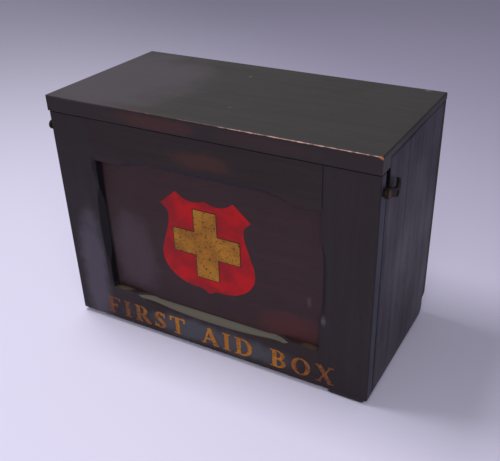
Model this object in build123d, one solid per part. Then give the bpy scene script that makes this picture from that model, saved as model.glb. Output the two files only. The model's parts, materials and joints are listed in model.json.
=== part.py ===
from build123d import *
import math
import os

# Antique wooden first aid case, in millimetres.
# X runs along the width, Y from the front to the back, Z up. The floor is Z = 0.
# The origin is the centre of the outline's bottom: hooks are alike on both ends,
# and the lid's front overhang and the hinge barrels behind share the depth.

# Case
case_width = 356.0
case_depth = 177.0
case_height = 263.0
side_thickness = 12.0
bottom_thickness = 10.0
back_thickness = 8.0
back_clear_of_base = 20.0
back_lap = 6.0
back_seam_height = 138.0
back_bevel = 4.0
heel_round = 9.0
joint_gap = 0.4
front_joint_gap = 0.8
wood_fit = 0.1
overcut = 1.0

# Inside
shelf_thickness = 8.0
shelf_height = 132.0
divider_thickness = 7.0
divider_offset = 0.0
housing_depth = 3.0
back_rail_height = 22.0
back_rail_thickness = 10.0

# Feet
foot_height = 4.7
foot_length = 30.0
foot_width = 20.0
foot_inset = 12.0
foot_draft = 1.2

# Lid
lid_thickness = 16.5
lid_lip = 7.5
lid_overhang = 1.0
lid_end_overhang = 0.3
lid_step_gap = 0.8
lid_side_clearance = 0.6
lid_edge_radius = 1.6
lid_front_gap = 1.0

# Finger notch at each end, cut into the end board and a little into the stile
notch_drop = 21.0
notch_depth = 5.4
stile_notch_depth = 3.0
stile_notch_length = 10.0

# Front frame and panel
front_thickness = 13.6
front_lift = 0.3
stile_width = 52.0
rail_top_height = 44.0
rail_bottom_height = 44.0
panel_recess = 6.5
panel_thickness = 4.2
groove_play = 0.15
groove_depth = 7.0
panel_play = 0.5
tenon_length = 30.0
tenon_shoulder = 8.0
corner_round = 2.2
stile_bevel = 6.0
rail_bevel = 9.0
bevel_stop = 30.0
bevel_run_out = 30.0
pad_length = 38.0
pad_height = 3.3
pad_depth = 12.5
pad_inset = 3.5
pad_corner = 2.5

# Hinges
hinge_length = 50.0
hinge_from_stile = 11.0
knuckle_radius = 1.7
knuckle_gap = 0.3
knuckle_middle = 19.8
barrel_sides = 12
leaf_thickness = 1.3
leaf_clearance = 0.3
barrel_clearance = 0.4
pin_radius = 0.8
pin_clearance = 0.05
front_pivot_behind_face = 4.0
hinge_slot_play = 0.3
slot_wall_play = 0.2
front_leaf_margin = 0.9
case_leaf_reach = 24.0
case_leaf_screws = 14.5
lid_leaf_width = 6.5

# Screws and nails
screw_radius = 1.1
screw_head_radius = 2.2
screw_head_depth = 1.0
screw_sides = 8
point_share = 0.2
screw_spacing = 17.0
screw_point = 2.0
screw_fit = 0.05
case_screw_length = 7.5
front_screw_length = 14.0
back_screw_length = 14.0
lip_screw_length = 6.0
nail_sides = 4
nail_radius = 1.4
nail_head_width = 3.6
nail_head_height = 0.5
nail_length = 24.0
nail_stop = 1.0
nail_edge = 14.0
nails_per_row = 3
rail_nails = 4

# Hooks and their studs
hook_thickness = 2.8
hook_reach = 24.5
hook_droop = 21.0
hook_eye_radius = 4.8
hook_nose_radius = 3.6
hook_slot_play = 0.5
hook_curl_radius = 8.0
hook_curl_past_stud = 5.5
hook_curl_rise = 5.0
hook_hollow_radius = 5.5
hook_hollow_back = 4.5
hook_hollow_up = 2.5
hook_drop_from_lid = 17.5
hook_behind_face = 6.0
hook_play = 0.3
hook_screw_radius = 1.6
hook_screw_head_radius = 3.4
hook_screw_head_height = 1.7
hook_screw_length = 16.0
hook_bore_clearance = 0.06
washer_radius = 3.6
washer_thickness = 1.9
stud_radius = 1.6
stud_head_radius = 3.0
stud_head_height = 1.9
stud_length = 9.0
slot_width = 0.9
slot_depth = 0.6
round_sides = 16
dome_steps = (72, 48, 24, 0)

# Places worked out from the sizes above
barrel_back = knuckle_radius + barrel_clearance
half_width = case_width / 2
half_inside = half_width - side_thickness
outline_depth = lid_overhang + case_depth + barrel_back + knuckle_radius
front_face = -outline_depth / 2 + lid_overhang
back_plane = front_face + case_depth
front_back = front_face + front_thickness
side_front = front_back + front_joint_gap
back_inner = back_plane - back_thickness

base = foot_height
lid_underside = case_height - lid_thickness
lip_underside = case_height - lid_lip
side_top = lip_underside - joint_gap
front_bottom = base + front_lift
front_top = lid_underside - lid_front_gap
bottom_top = base + bottom_thickness
back_bottom = base + back_clear_of_base
shelf_top = shelf_height + shelf_thickness

opening_half = half_width - stile_width
hinge_place = opening_half - hinge_from_stile - hinge_length / 2
opening_low = front_bottom + rail_bottom_height
opening_high = front_top - rail_top_height
groove_front = front_face + panel_recess - groove_play
groove_width = panel_thickness + 2 * groove_play
tenon_low = (front_bottom + tenon_shoulder, opening_low - groove_depth)
tenon_high = (opening_high + groove_depth, front_top - tenon_shoulder)

lid_step = side_front + notch_depth - lid_step_gap

front_pivot = (front_face + front_pivot_behind_face, front_bottom + knuckle_radius)
lid_pivot = (back_plane + barrel_back, (side_top + lip_underside) / 2)

hook_pivot = (front_face + hook_behind_face, lid_underside - hook_drop_from_lid)
hook_inner = washer_thickness + hook_play
stud_place = (hook_pivot[0] + hook_reach * math.cos(math.radians(hook_droop)),
              hook_pivot[1] - hook_reach * math.sin(math.radians(hook_droop)))

SIDES = {"left": -1, "right": 1}
pieces = {}


def block(x, y, z):
    """A box between two limits along each axis."""
    centre = ((x[0] + x[1]) / 2, (y[0] + y[1]) / 2, (z[0] + z[1]) / 2)
    return Pos(*centre) * Box(x[1] - x[0], y[1] - y[0], z[1] - z[0])


def span(middle, length):
    return (middle - length / 2, middle + length / 2)


def mirrored(limits, sign):
    """Limits along X, on the left when sign is -1."""
    return (limits[0], limits[1]) if sign > 0 else (-limits[1], -limits[0])


def group(solids):
    return Compound(children=list(solids))


# Screws

def faceted(rings):
    """A solid with flat faces through rings of corners, given from the top down."""
    faces = [Face(Wire.make_polygon(rings[0])), Face(Wire.make_polygon(rings[-1]))]
    for upper, lower in zip(rings, rings[1:]):
        faces += [Face(Wire.make_polygon([upper[n - 1], upper[n], lower[n], lower[n - 1]]))
                  for n in range(len(upper))]
    return Solid(Shell(faces))


def turned(levels, sides):
    """A many-sided solid through rings, given as (radius, height) from the top down."""
    turns = [2 * math.pi * n / sides for n in range(sides)]
    return faceted([[(radius * math.sin(a), radius * math.cos(a), z) for a in turns]
                    for radius, z in levels])


def prism(radius, length, sides):
    """A many-sided rod along Z, its middle at the origin."""
    return extrude(RegularPolygon(radius, sides), length / 2, both=True)


def wood_screw(radius, head_radius, length, fit=0.0):
    """A countersunk screw: its head's flat top on Z = 0, its point down."""
    shank = radius + fit
    return turned([(head_radius + fit, 0), (shank, -screw_head_depth), (shank, screw_point - length),
                   (shank * point_share, -length)], screw_sides)


def round_hole(radius, length):
    """The hole that a round screw's shank leaves, with its mouth on Z = 0."""
    shank = radius + screw_fit
    return turned([(shank, overcut), (shank, screw_point - length), (shank * point_share, -length)],
                  round_sides)


def round_screw(radius, head_radius, head_height, length):
    """A domed screw: the head's underside on Z = 0, its point down, a slot across the dome."""
    angles = [math.radians(step) for step in dome_steps]
    head = turned([(head_radius * math.cos(a), head_height * math.sin(a)) for a in angles], round_sides)
    head -= Pos(0, 0, head_height) * Box(2 * head_radius, slot_width, 2 * slot_depth)
    shank = turned([(radius, 0), (radius, screw_point - length), (radius * point_share, -length)],
                   round_sides)
    return head + shank


def screw_places(middle):
    return [middle - screw_spacing, middle, middle + screw_spacing]


HEAD_DOWN = Rot(180, 0, 0)
HEAD_UP = Rot(0, 0, 0)


def screws(seats, turn, length, fit=0.0):
    """Countersunk screws with their heads' tops on the seats."""
    return [Pos(*seat) * turn * wood_screw(screw_radius, screw_head_radius, length, fit)
            for seat in seats]


# Seats of the leaf screws: each is the centre of a screw head's flat top.
front_leaf_back = front_back - front_leaf_margin
front_leaf_y = (front_pivot[0] + knuckle_radius + front_leaf_back) / 2
case_leaf_y = side_front + case_leaf_screws
lid_leaf_y = back_plane - lid_leaf_width / 2


def leaf_seats(y, z):
    return [(x, y, z) for sign in SIDES.values() for x in screw_places(sign * hinge_place)]


front_plate = (front_pivot[1] + knuckle_radius + leaf_clearance,
               front_pivot[1] + knuckle_radius + leaf_clearance + leaf_thickness)
case_plate = span(front_pivot[1], leaf_thickness)
front_seats = leaf_seats(front_leaf_y, front_plate[0])
case_seats = leaf_seats(case_leaf_y, case_plate[0])
back_seats = leaf_seats(lid_leaf_y, side_top)
lip_seats = leaf_seats(lid_leaf_y, lip_underside)


# Hinges

def knuckles(middle, pivot, kind):
    """Barrels round the pivot: one in the middle or two outside it, bored for the pin."""
    outer = (hinge_length - knuckle_middle) / 2 - knuckle_gap
    if kind == "middle":
        lengths = [(middle, knuckle_middle)]
    else:
        shift = (hinge_length - outer) / 2
        lengths = [(middle - shift, outer), (middle + shift, outer)]
    rods = [Pos(x, *pivot) * Rot(0, 90, 0) * prism(knuckle_radius, length, barrel_sides)
            for x, length in lengths]
    return rods, lengths


def leaf(middle, pivot, kind, plate_y, plate_z, neck):
    """A flat leaf joined to its knuckles, notched round the other leaf's knuckles."""
    rods, lengths = knuckles(middle, pivot, kind)
    body = block(span(middle, hinge_length), plate_y, plate_z)
    for rod, (x, length) in zip(rods, lengths):
        body += block(span(x, length), neck[0], neck[1])
        body += rod
    bore = prism(pin_radius + pin_clearance, 2 * hinge_length, barrel_sides)
    return body - Pos(middle, *pivot) * Rot(0, 90, 0) * bore


def hinge_pin(middle, pivot):
    return Pos(middle, *pivot) * Rot(0, 90, 0) * prism(pin_radius, hinge_length, barrel_sides)


def make_front_hinges():
    """Hinges hidden in the bottom rail, whose fixed leaves run back into the bottom board."""
    y, z = front_pivot
    leaf_stop = y + knuckle_radius + leaf_clearance
    for name, sign in SIDES.items():
        middle = sign * hinge_place
        moving = leaf(middle, front_pivot, "middle",
                      (y - knuckle_radius, front_leaf_back), front_plate,
                      ((y - knuckle_radius, y + knuckle_radius), (z, front_plate[1])))
        fixed = leaf(middle, front_pivot, "outer",
                     (leaf_stop, side_front + case_leaf_reach), case_plate,
                     ((y, leaf_stop), case_plate))
        for cut in screws(front_seats, HEAD_DOWN, front_screw_length, screw_fit):
            moving -= cut
        for cut in screws(case_seats, HEAD_DOWN, case_screw_length, screw_fit):
            fixed -= cut
        pieces["front_hinge_front_leaf_" + name] = moving
        pieces["front_hinge_case_leaf_" + name] = fixed
    pins = [hinge_pin(sign * hinge_place, front_pivot) for sign in SIDES.values()]
    pieces["front_hinge_pins"] = group(pins)
    pieces["front_hinge_front_screws"] = group(screws(front_seats, HEAD_DOWN, front_screw_length))
    pieces["front_hinge_case_screws"] = group(screws(case_seats, HEAD_DOWN, case_screw_length))


def make_lid_hinges():
    y, z = lid_pivot
    leaf_stop = y - knuckle_radius - leaf_clearance
    plate_start = back_plane - lid_leaf_width
    moving_plate = (lip_underside, lip_underside + leaf_thickness)
    fixed_plate = (side_top - leaf_thickness, side_top)
    for name, sign in SIDES.items():
        middle = sign * hinge_place
        moving = leaf(middle, lid_pivot, "middle", (plate_start, leaf_stop), moving_plate,
                      ((leaf_stop, y), moving_plate))
        fixed = leaf(middle, lid_pivot, "outer", (plate_start, leaf_stop), fixed_plate,
                     ((leaf_stop, y), fixed_plate))
        for cut in screws(lip_seats, HEAD_DOWN, lip_screw_length, screw_fit):
            moving -= cut
        for cut in screws(back_seats, HEAD_UP, back_screw_length, screw_fit):
            fixed -= cut
        pieces["lid_hinge_lid_leaf_" + name] = moving
        pieces["lid_hinge_case_leaf_" + name] = fixed
    pins = [hinge_pin(sign * hinge_place, lid_pivot) for sign in SIDES.values()]
    pieces["lid_hinge_pins"] = group(pins)
    pieces["lid_hinge_lid_screws"] = group(screws(lip_seats, HEAD_DOWN, lip_screw_length))
    pieces["lid_hinge_case_screws"] = group(screws(back_seats, HEAD_UP, back_screw_length))


# Case boards

def finger_notch(x, face, depth):
    """Cuts a board's face along Y by depth, from the top down to a round foot."""
    low = lid_underside - notch_drop + abs(depth)
    limits = sorted((face - math.copysign(overcut, depth), face + depth))
    foot = Pos((x[0] + x[1]) / 2, face, low) * Rot(0, 90, 0) * Cylinder(abs(depth), x[1] - x[0])
    return block(x, limits, (low, side_top + overcut)) + foot


def lower_back_edge(board):
    """The edge of a board that lies lowest and furthest back."""
    return board.edges().filter_by(Axis.X).sort_by(lambda e: e.center().Z - e.center().Y)[0]


def make_sides():
    """End boards: rebated for the bottom, housed for the shelf, notched at the top front."""
    for name, sign in SIDES.items():
        x = mirrored((half_inside, half_width), sign)
        board = block(x, (side_front, back_inner), (base, side_top))
        board = fillet(lower_back_edge(board), heel_round)
        inner = mirrored((half_inside - wood_fit, half_inside + housing_depth + wood_fit), sign)
        through = (side_front - overcut, back_inner + overcut)
        board -= block(inner, through, (base - overcut, bottom_top + wood_fit))
        board -= block(inner, through, (shelf_height - wood_fit, shelf_top + wood_fit))
        board -= finger_notch(mirrored((half_inside - overcut, half_width + overcut), sign),
                              side_front, notch_depth)
        stud = Pos(sign * half_width, *stud_place) * Rot(0, sign * 90, 0)
        board -= stud * round_hole(stud_radius, stud_length)
        for cut in nail_set(screw_fit):
            board -= cut
        pieces["side_" + name] = board


def make_bottom():
    reach = half_inside + housing_depth
    board = block((-reach, reach), (side_front, back_inner), (base, bottom_top))
    board = fillet(lower_back_edge(board), heel_round)
    board -= block(span(divider_offset, divider_thickness + 2 * wood_fit),
                   (side_front - overcut, back_inner + overcut),
                   (bottom_top - housing_depth - wood_fit, bottom_top + overcut))
    for sign in SIDES.values():
        board -= block(span(sign * hinge_place, hinge_length + 2 * wood_fit),
                       (side_front - overcut, side_front + case_leaf_reach + wood_fit),
                       (base - overcut, case_plate[1]))
    for cut in screws(case_seats, HEAD_DOWN, case_screw_length, screw_fit):
        board -= cut
    pieces["bottom_board"] = board


def make_inside():
    reach = half_inside + housing_depth
    shelf = block((-reach, reach), (side_front, back_inner), (shelf_height, shelf_top))
    shelf -= block(span(divider_offset, divider_thickness + 2 * wood_fit),
                   (side_front - overcut, back_inner + overcut),
                   (shelf_height - overcut, shelf_height + housing_depth + wood_fit))
    divider = block(span(divider_offset, divider_thickness), (side_front, back_inner),
                    (bottom_top - housing_depth, shelf_height + housing_depth))
    rail_y = (back_inner - back_rail_thickness, back_inner)
    rail = block((-half_inside, half_inside), rail_y, (bottom_top, bottom_top + back_rail_height))
    for cut in nail_set(screw_fit):
        rail -= cut
    divider -= block((-half_inside, half_inside), (rail_y[0] - wood_fit, back_inner + overcut),
                     (bottom_top, bottom_top + back_rail_height + wood_fit))
    pieces["shelf"] = shelf
    pieces["divider"] = divider
    pieces["back_rail"] = rail


def nail_places():
    """Heads of the back's nails: rows up both ends of each board, and a row into the rail."""
    column = half_width - side_thickness / 2
    low_board = (back_bottom + nail_edge, back_seam_height - nail_edge)
    high_board = (back_seam_height + nail_edge, side_top - nail_edge)
    places = []
    for low, high in (low_board, high_board):
        for row in range(nails_per_row):
            z = low + (high - low) * row / (nails_per_row - 1)
            places += [(-column, z), (column, z)]
    rail_z = (back_bottom + bottom_top + back_rail_height) / 2
    step = 2 * (half_inside - nail_edge) / (rail_nails - 1)
    places += [(-half_inside + nail_edge + step * n, rail_z) for n in range(rail_nails)]
    return places


def nail(length, fit=0.0):
    """A square cut nail with its head's underside on Z = 0, its point down."""
    head = Pos(0, 0, nail_head_height / 2) * Box(nail_head_width, nail_head_width, nail_head_height)
    shank = turned([(nail_radius + fit, 0), (nail_radius * point_share + fit, -length)], nail_sides)
    return head + shank


def nail_set(fit=0.0):
    """Nails driven forward from the back, each head lying on the back boards."""
    long = nail(nail_length, fit)
    short = nail(back_thickness + back_rail_thickness - nail_stop, fit)
    return [Pos(x, back_plane, z) * Rot(-90, 0, 0) * (long if abs(x) > half_inside else short)
            for x, z in nail_places()]


def make_back():
    """Two boards across the back, half lapped where they meet."""
    seam = back_seam_height
    half = back_thickness / 2
    lower = block((-half_width, half_width), (back_inner, back_plane), (back_bottom, seam))
    lower = chamfer(lower_back_edge(lower), back_bevel)
    lower += block((-half_width, half_width), (back_inner, back_inner + half), (seam, seam + back_lap))
    upper = block((-half_width, half_width), (back_inner, back_plane), (seam + wood_fit, side_top))
    upper -= block((-half_width - overcut, half_width + overcut),
                   (back_inner - overcut, back_inner + half + wood_fit),
                   (seam - overcut, seam + back_lap + wood_fit))
    for sign in SIDES.values():
        upper -= block(span(sign * hinge_place, hinge_length + 2 * wood_fit),
                       (back_plane - lid_leaf_width - wood_fit, back_plane + overcut),
                       (side_top - leaf_thickness, side_top + overcut))
    for cut in screws(back_seats, HEAD_UP, back_screw_length, screw_fit):
        upper -= cut
    for cut in nail_set(screw_fit):
        lower -= cut
        upper -= cut
    pieces["back_board_lower"] = lower
    pieces["back_board_upper"] = upper
    pieces["back_nails"] = group(nail_set())


def make_feet():
    """Square wooden pads that taper a little towards the floor."""
    x = half_width - foot_inset - foot_length / 2
    places = {"front": side_front + foot_inset + foot_width / 2,
              "back": back_inner - foot_inset - foot_width / 2}
    spans = {foot_height: (foot_length / 2, foot_width / 2),
             0: (foot_length / 2 - foot_draft, foot_width / 2 - foot_draft)}
    foot = faceted([[(a, b, z), (-a, b, z), (-a, -b, z), (a, -b, z)] for z, (a, b) in spans.items()])
    for end, y in places.items():
        for name, sign in SIDES.items():
            pieces["foot_" + end + "_" + name] = Pos(sign * x, y, 0) * foot


# Lid

def make_lid():
    """A thick board with a rebate on both ends and along the back that leaves a thin lip."""
    reach = half_width + lid_end_overhang
    y = (front_face - lid_overhang, back_plane)
    board = block((-reach, reach), y, (lid_underside, case_height))
    board = fillet(board.edges().group_by(Axis.Z)[-1], lid_edge_radius)
    for sign in SIDES.values():
        end = mirrored((half_inside - lid_side_clearance, reach + overcut), sign)
        board -= block(end, (lid_step, back_plane + overcut), (lid_underside - overcut, lip_underside))
        board -= block(span(sign * hinge_place, hinge_length + 2 * wood_fit),
                       (back_plane - lid_leaf_width - wood_fit, back_plane + overcut),
                       (lip_underside - overcut, lip_underside + leaf_thickness))
    board -= block((-reach - overcut, reach + overcut),
                   (back_inner - lid_side_clearance, back_plane + overcut),
                   (lid_underside - overcut, lip_underside))
    for cut in screws(lip_seats, HEAD_DOWN, lip_screw_length, screw_fit):
        board -= cut
    pieces["lid_board"] = board


# Front frame

def run_out_cutter(length, size):
    """The tool that cuts a stopped bevel: flat in the middle, rising out on an arc at each end."""
    rise = size / math.sqrt(2)
    flat = length / 2 - bevel_run_out
    floor = Line((-flat, 0), (flat, 0))
    right = TangentArc((flat, 0), (flat + bevel_run_out, rise), tangent=(1, 0))
    left = TangentArc((-flat, 0), (-flat - bevel_run_out, rise), tangent=(-1, 0))
    roof = Line(right @ 1, left @ 1)
    return make_face([floor, right, roof, left])


def bevel_cut(middle, along, inward, length, size):
    """Cuts the front arris of a frame member beside the opening at 45 degrees.

    middle is the arris point halfway along, along the arris direction, and
    inward the way from the opening into the member. size is the bevel's depth.
    """
    along = Vector(*along)
    inward = Vector(*inward)
    depth = Vector(0, 1, 0)
    across = (inward - depth).normalized()
    out = (-inward - depth).normalized()
    turn = 1 if along.cross(out).dot(across) > 0 else -1
    start = Vector(*middle) + depth * size
    plane = Plane(origin=start, x_dir=along * turn, z_dir=(along * turn).cross(out))
    face = plane * run_out_cutter(length, size)
    return extrude(face, amount=3 * size, both=True)


def make_stiles():
    """Upright members, grooved for the panel and mortised for the rails."""
    for name, sign in SIDES.items():
        inner = sign * opening_half
        outline = Rectangle(stile_width, front_thickness)
        stile = extrude(outline, front_top - front_bottom)
        stile = Pos(sign * (opening_half + stile_width / 2), front_face + front_thickness / 2,
                    front_bottom) * stile
        outer_front = stile.edges().filter_by(Axis.Z).sort_by(lambda e: e.center().Y)[:2]
        stile = fillet([outer_front.sort_by(lambda e: abs(e.center().X))[-1]], corner_round)
        groove_y = (groove_front, groove_front + groove_width)
        groove_x = mirrored((opening_half - overcut, opening_half + groove_depth), sign)
        stile -= block(groove_x, groove_y, (tenon_low[1], tenon_high[0]))
        mortise_x = mirrored((opening_half - overcut, opening_half + tenon_length + wood_fit), sign)
        for low, high in (tenon_low, tenon_high):
            stile -= block(mortise_x, groove_y, (low - wood_fit, high + wood_fit))
        middle = (inner, front_face, (opening_low + opening_high) / 2)
        stile -= bevel_cut(middle, (0, 0, 1), (sign, 0, 0),
                           opening_high - opening_low - 2 * bevel_stop, stile_bevel)
        stile -= finger_notch(mirrored((half_width - stile_notch_length, half_width + overcut), sign),
                              front_back, -stile_notch_depth)
        hook = Pos(sign * half_width, *hook_pivot) * Rot(0, sign * 90, 0)
        stile -= hook * round_hole(hook_screw_radius, hook_screw_length)
        pieces["front_stile_" + name] = stile


def make_rails():
    """Cross members with tenons, a panel groove, and the hinge leaves' recesses below."""
    levels = {"top": (opening_high, front_top, tenon_high, 1),
              "bottom": (front_bottom, opening_low, tenon_low, -1)}
    tenon_y = (groove_front + groove_play, groove_front + groove_width - groove_play)
    reach = opening_half + tenon_length
    for name, (low, high, tenon, inward) in levels.items():
        rail = block((-opening_half, opening_half), (front_face, front_back), (low, high))
        rail += block((-reach, reach), tenon_y, tenon)
        arris = low if inward > 0 else high
        bed = arris + inward * groove_depth
        rail -= block((-reach - overcut, reach + overcut), (groove_front, groove_front + groove_width),
                      (min(arris - inward, bed), max(arris - inward, bed)))
        rail -= bevel_cut((0, front_face, arris), (1, 0, 0), (0, 0, inward),
                          2 * (opening_half - bevel_stop), rail_bevel)
        if name == "bottom":
            rail = cut_hinge_recesses(rail)
        pieces["front_rail_" + name] = rail


def cut_hinge_recesses(rail):
    """Slots open below and behind, where the barrels lie behind a thin wall of the rail."""
    slot_front = front_pivot[0] - knuckle_radius - slot_wall_play
    for sign in SIDES.values():
        rail -= block(span(sign * hinge_place, hinge_length + 2 * hinge_slot_play),
                      (slot_front, front_back + overcut), (front_bottom - overcut, front_plate[1]))
    for cut in screws(front_seats, HEAD_DOWN, front_screw_length, screw_fit):
        rail -= cut
    return rail


def make_panel():
    """A thin board that floats in the frame's groove."""
    reach = groove_depth - panel_play
    y = front_face + panel_recess
    pieces["front_panel"] = block((-opening_half - reach, opening_half + reach),
                                  (y, y + panel_thickness),
                                  (opening_low - reach, opening_high + reach))


def make_pad():
    """The thin pad under the right stile, its front corners rounded."""
    right = half_width - pad_inset
    pad = block((right - pad_length, right), (front_face, front_face + pad_depth),
                (front_bottom - pad_height, front_bottom))
    corners = pad.edges().filter_by(Axis.Z).sort_by(Axis.Y)[:2]
    pieces["front_pad_right"] = fillet(corners, pad_corner)


# Hooks

def hook_outline():
    """A swing hook lying along +X: eye at the origin, slot over the stud, curl to lift it by."""
    eye = Circle(hook_eye_radius)
    nose = Pos(hook_reach, 0) * Circle(hook_nose_radius + stud_radius)
    neck = Pos(hook_reach - 2 * hook_nose_radius, hook_slot_play) * Circle(hook_nose_radius)
    arm = make_hull(eye.edges() + neck.edges())
    shoulder = make_hull(neck.edges() + (Pos(0, hook_slot_play) * nose).edges())
    centre = (hook_reach + hook_curl_past_stud - hook_curl_radius, hook_curl_rise)
    hollow = Pos(centre[0] - hook_hollow_back, centre[1] + hook_hollow_up)
    curl = Pos(*centre) * Circle(hook_curl_radius) - hollow * Circle(hook_hollow_radius)
    slot_radius = stud_radius + hook_slot_play
    slot = Pos(hook_reach, 0) * Circle(slot_radius)
    slot += Pos(hook_reach, -hook_eye_radius) * Rectangle(2 * slot_radius, 2 * hook_eye_radius)
    bore = Circle(hook_screw_radius + hook_bore_clearance)
    return arm + shoulder + curl - slot - bore


def make_hooks():
    for name, sign in SIDES.items():
        drooped = Rot(0, 0, -hook_droop) * extrude(hook_outline(), hook_thickness)
        stood = Plane(origin=(sign * half_width, *hook_pivot), x_dir=(0, 1, 0), z_dir=(1, 0, 0))
        shift = hook_inner if sign > 0 else -hook_inner - hook_thickness
        pieces["hook_" + name] = stood * (Pos(0, 0, shift) * drooped)

        outward = Pos(sign * half_width, *hook_pivot) * Rot(0, sign * 90, 0)
        ring = prism(washer_radius, washer_thickness, round_sides)
        ring -= prism(hook_screw_radius + screw_fit, 2 * washer_thickness, round_sides)
        pieces["hook_washer_" + name] = outward * Pos(0, 0, washer_thickness / 2) * ring

        head_seat = hook_inner + hook_thickness + hook_play
        screw = round_screw(hook_screw_radius, hook_screw_head_radius, hook_screw_head_height,
                            hook_screw_length + head_seat)
        pieces["hook_screw_" + name] = outward * Pos(0, 0, head_seat) * screw

        stud = round_screw(stud_radius, stud_head_radius, stud_head_height, stud_length)
        pieces["catch_stud_" + name] = Pos(sign * half_width, *stud_place) * Rot(0, sign * 90, 0) * stud


def main():
    make_sides()
    make_bottom()
    make_inside()
    make_back()
    make_feet()
    make_lid()
    make_stiles()
    make_rails()
    make_panel()
    make_pad()
    make_front_hinges()
    make_lid_hinges()
    make_hooks()
    os.makedirs("parts", exist_ok=True)
    for name, shape in pieces.items():
        export_step(shape, "parts/" + name + ".step")
        print(name, len(shape.solids()))


main()
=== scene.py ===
# %% [markdown]
# # An antique wooden first aid case
# The CAD model gives every board, hinge and hook its size and place, and the joints that move them.
# This notebook dresses that frame: it rounds the arrises that hands have worn, paints the shield and
# the lettering, and gives each wood and metal its own finish. The first cell loads the frame.

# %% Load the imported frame
import json
import math

import bmesh
import bpy
from mathutils import Matrix, Vector

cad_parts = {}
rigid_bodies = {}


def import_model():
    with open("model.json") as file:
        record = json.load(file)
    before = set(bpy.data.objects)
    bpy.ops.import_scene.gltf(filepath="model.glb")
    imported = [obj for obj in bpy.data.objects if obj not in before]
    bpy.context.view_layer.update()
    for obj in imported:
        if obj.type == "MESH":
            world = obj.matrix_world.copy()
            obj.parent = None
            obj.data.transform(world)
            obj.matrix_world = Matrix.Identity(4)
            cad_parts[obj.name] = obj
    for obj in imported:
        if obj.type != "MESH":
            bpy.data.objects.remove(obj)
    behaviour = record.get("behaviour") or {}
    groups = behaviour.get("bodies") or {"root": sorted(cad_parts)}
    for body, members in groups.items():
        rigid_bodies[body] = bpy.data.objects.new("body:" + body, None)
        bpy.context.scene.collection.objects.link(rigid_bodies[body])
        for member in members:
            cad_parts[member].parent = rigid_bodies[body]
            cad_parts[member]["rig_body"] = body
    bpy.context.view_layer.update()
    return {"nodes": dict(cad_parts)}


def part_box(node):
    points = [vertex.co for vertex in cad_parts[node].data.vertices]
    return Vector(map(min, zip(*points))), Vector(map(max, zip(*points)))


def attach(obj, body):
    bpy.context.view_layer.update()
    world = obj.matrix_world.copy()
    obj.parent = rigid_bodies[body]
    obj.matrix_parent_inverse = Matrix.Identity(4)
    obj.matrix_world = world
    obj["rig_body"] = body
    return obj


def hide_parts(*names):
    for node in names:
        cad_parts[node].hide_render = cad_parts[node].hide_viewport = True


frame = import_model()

MM = 0.001
nodes = frame["nodes"]
lid_low, lid_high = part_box("lid_board")
stile_low, stile_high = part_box("front_stile_right")
panel_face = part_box("front_panel")[0].y
front_face = stile_low.y
half_width = stile_high.x
opening_half = stile_low.x

# %% [markdown]
# ## The camera
# The photograph looks down on the right front corner. The camera's turn, height, roll and distance were
# solved from the outline's corners. The lens is a little longer than normal, and a small shift moves the
# frame without bending the upright lines.

# %% Place the camera
IMAGE_WIDTH, IMAGE_HEIGHT = 500, 461
AZIMUTH, ELEVATION, ROLL = math.radians(28.84), math.radians(30.58), math.radians(-1.10)
CAMERA_DISTANCE = 0.7711
CAMERA_TARGET = Vector((0.0252, -0.0014, 0.0939))
FOCAL_PIXELS = 704.1
CENTRE_PIXEL = (269.8, 246.2)
SENSOR = 36.0

back = Vector((math.sin(AZIMUTH) * math.cos(ELEVATION),
               -math.cos(AZIMUTH) * math.cos(ELEVATION),
               math.sin(ELEVATION)))
level = Vector((0, 0, 1)).cross(back).normalized()
upright = back.cross(level)
right = math.cos(ROLL) * level + math.sin(ROLL) * upright
up = -math.sin(ROLL) * level + math.cos(ROLL) * upright

camera_data = bpy.data.cameras.new("camera")
camera_data.sensor_width = SENSOR
camera_data.lens = FOCAL_PIXELS / IMAGE_WIDTH * SENSOR
camera_data.shift_x = -(CENTRE_PIXEL[0] - IMAGE_WIDTH / 2) / IMAGE_WIDTH
camera_data.shift_y = (CENTRE_PIXEL[1] - IMAGE_HEIGHT / 2) / IMAGE_WIDTH
camera = bpy.data.objects.new("camera", camera_data)
bpy.context.scene.collection.objects.link(camera)
turn = Matrix((right, up, back)).transposed().to_4x4()
camera.matrix_world = Matrix.Translation(CAMERA_TARGET + back * CAMERA_DISTANCE) @ turn
bpy.context.scene.camera = camera
print("lens", round(camera_data.lens, 2), "mm")

# %% [markdown]
# ## Helpers for materials
# A finish is a small tree of shader nodes. These helpers keep each tree short: one makes a node and fills
# its inputs, and the others name the few sums that come up again and again.

# %% Make nodes in one line
def srgb(red, green, blue):
    """A colour as seen on screen, 0 to 255, as the linear values that shaders use."""
    def linear(c):
        c /= 255
        return c / 12.92 if c <= 0.04045 else ((c + 0.055) / 1.055) ** 2.4
    return (linear(red), linear(green), linear(blue), 1.0)


def add(tree, kind, inputs=None, **settings):
    """A new node with its settings and inputs. A socket given as an input is linked."""
    made = tree.nodes.new(kind)
    for name, value in settings.items():
        setattr(made, name, value)
    for name, value in (inputs or {}).items():
        if isinstance(value, bpy.types.NodeSocket):
            tree.links.new(value, made.inputs[name])
        else:
            made.inputs[name].default_value = value
    return made


def calc(tree, operation, first, second=0.0):
    """One sum of two numbers."""
    return add(tree, "ShaderNodeMath", {0: first, 1: second}, operation=operation).outputs[0]


def times(tree, *factors):
    """The product of several masks and numbers."""
    result = factors[0]
    for factor in factors[1:]:
        result = calc(tree, "MULTIPLY", result, factor)
    return result


def vector_calc(tree, operation, first, second=(0, 0, 0)):
    """One sum of two vectors. Output 0 is a vector and output 1 a number."""
    return add(tree, "ShaderNodeVectorMath", {0: first, 1: second}, operation=operation).outputs


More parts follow.
